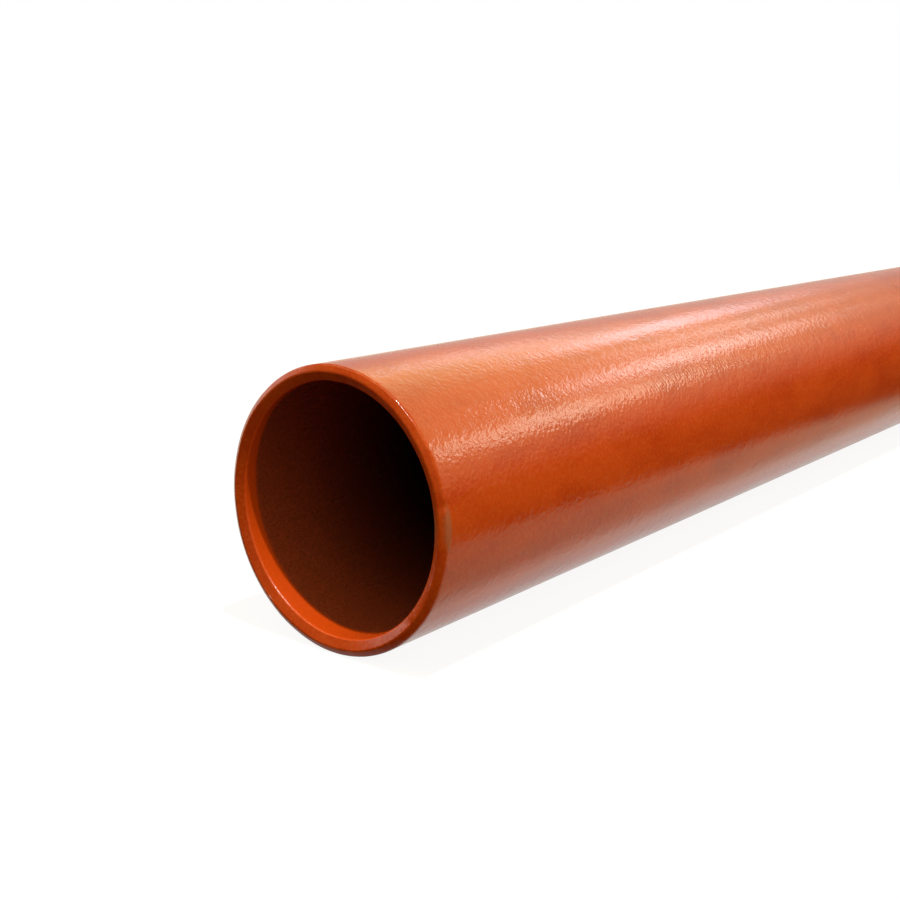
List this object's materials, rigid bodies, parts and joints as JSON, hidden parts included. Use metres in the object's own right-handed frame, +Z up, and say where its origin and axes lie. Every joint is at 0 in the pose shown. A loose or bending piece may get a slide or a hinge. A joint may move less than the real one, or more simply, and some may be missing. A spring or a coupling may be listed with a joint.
{
  "type": "painted steel gas pipe",
  "caption": "Straight round steel pipe with a smooth bore, plain bevelled ends and an orange-red painted surface, lying on its side.",
  "frame": {"origin": "on the floor under the middle of the pipe's length, in the plane of its axis", "axes": "+X along the pipe towards its far end, +Z up; the pipe's axis is parallel to X, half its outside diameter above the origin"},
  "size_m": [1, 0.0602, 0.0603],
  "materials": {
    "orange_paint": "gloss paint with a fine orange-peel texture"
  },
  "bodies": {
    "root": {"pipe": "orange_paint"}
  },
  "joints": []
}
